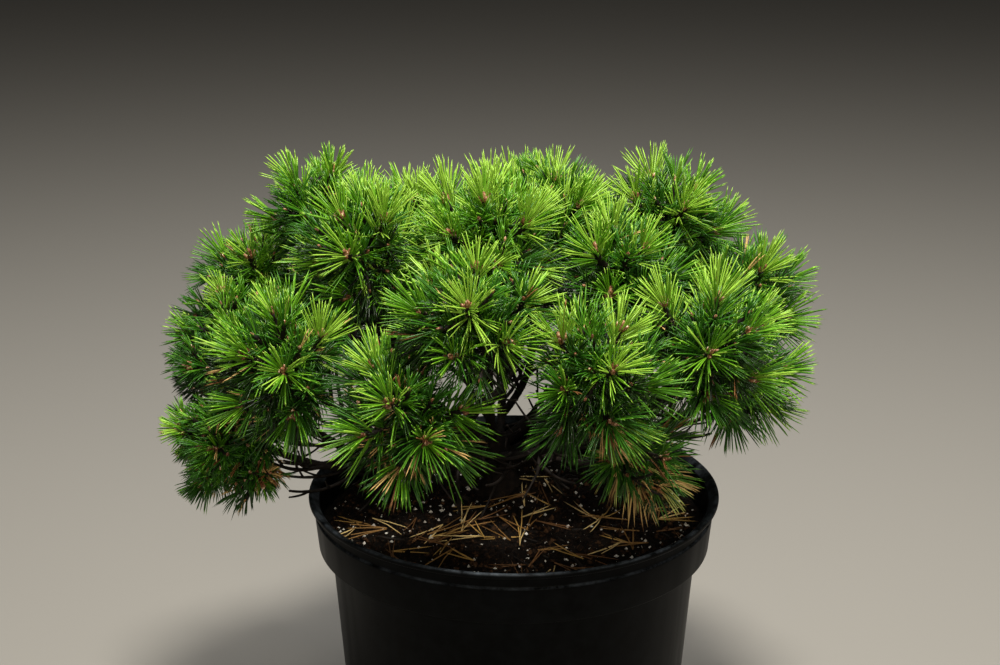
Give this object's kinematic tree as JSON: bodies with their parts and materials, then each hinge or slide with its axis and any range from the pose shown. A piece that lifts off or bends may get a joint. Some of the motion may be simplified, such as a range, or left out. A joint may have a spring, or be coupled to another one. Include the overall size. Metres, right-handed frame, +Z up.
{
  "type": "potted dwarf mountain pine",
  "caption": "Low wide dwarf mountain pine with stars of needles on bare spreading boughs, in a round tapered black nursery pot of soil, standing on its flat base.",
  "frame": {"origin": "middle of the pot's flat underside, on the surface that it stands on", "axes": "+Z up along the pot's axis, -Y towards the viewer of the picture, +X to that viewer's right"},
  "size_m": [0.5624, 0.5137, 0.5916],
  "materials": {
    "pot": "satin",
    "soil": "matte",
    "bark": "matte",
    "needles": "satin"
  },
  "bodies": {
    "root": {"pot": "pot", "potting_soil": "soil", "trunk": "bark", "bough_middle": "bark", "bough_left_low": "bark", "bough_left_front": "bark", "bough_front_left": "bark", "bough_front_right": "bark", "bough_right_low": "bark", "bough_back_right": "bark", "bough_back_low": "bark", "bough_back_left": "bark", "bough_left_peak": "bark", "bough_right_peak": "bark", "bough_far_left": "bark", "bough_left_shoulder": "bark", "bough_left_crest": "bark", "bough_front_middle": "bark", "bough_front_hanging": "bark", "bough_right_front": "bark", "bough_far_right": "bark", "bough_right_shoulder": "bark", "bough_top": "bark", "bough_back_top_left": "bark", "bough_back_top_right": "bark", "bough_back_low_left": "bark", "bough_back_low_right": "bark", "bough_right_crest": "bark", "needles_middle": "needles", "needles_left_low": "needles", "needles_left_front": "needles", "needles_front_left": "needles", "needles_front_right": "needles", "needles_right_low": "needles", "needles_back_right": "needles", "needles_back_low": "needles", "needles_back_left": "needles", "needles_left_peak": "needles", "needles_right_peak": "needles", "needles_far_left": "needles", "needles_left_shoulder": "needles", "needles_left_crest": "needles", "needles_front_middle": "needles", "needles_front_hanging": "needles", "needles_right_front": "needles", "needles_far_right": "needles", "needles_right_shoulder": "needles", "needles_top": "needles", "needles_back_top_left": "needles", "needles_back_top_right": "needles", "needles_back_low_left": "needles", "needles_back_low_right": "needles", "needles_right_crest": "needles"}
  },
  "joints": []
}
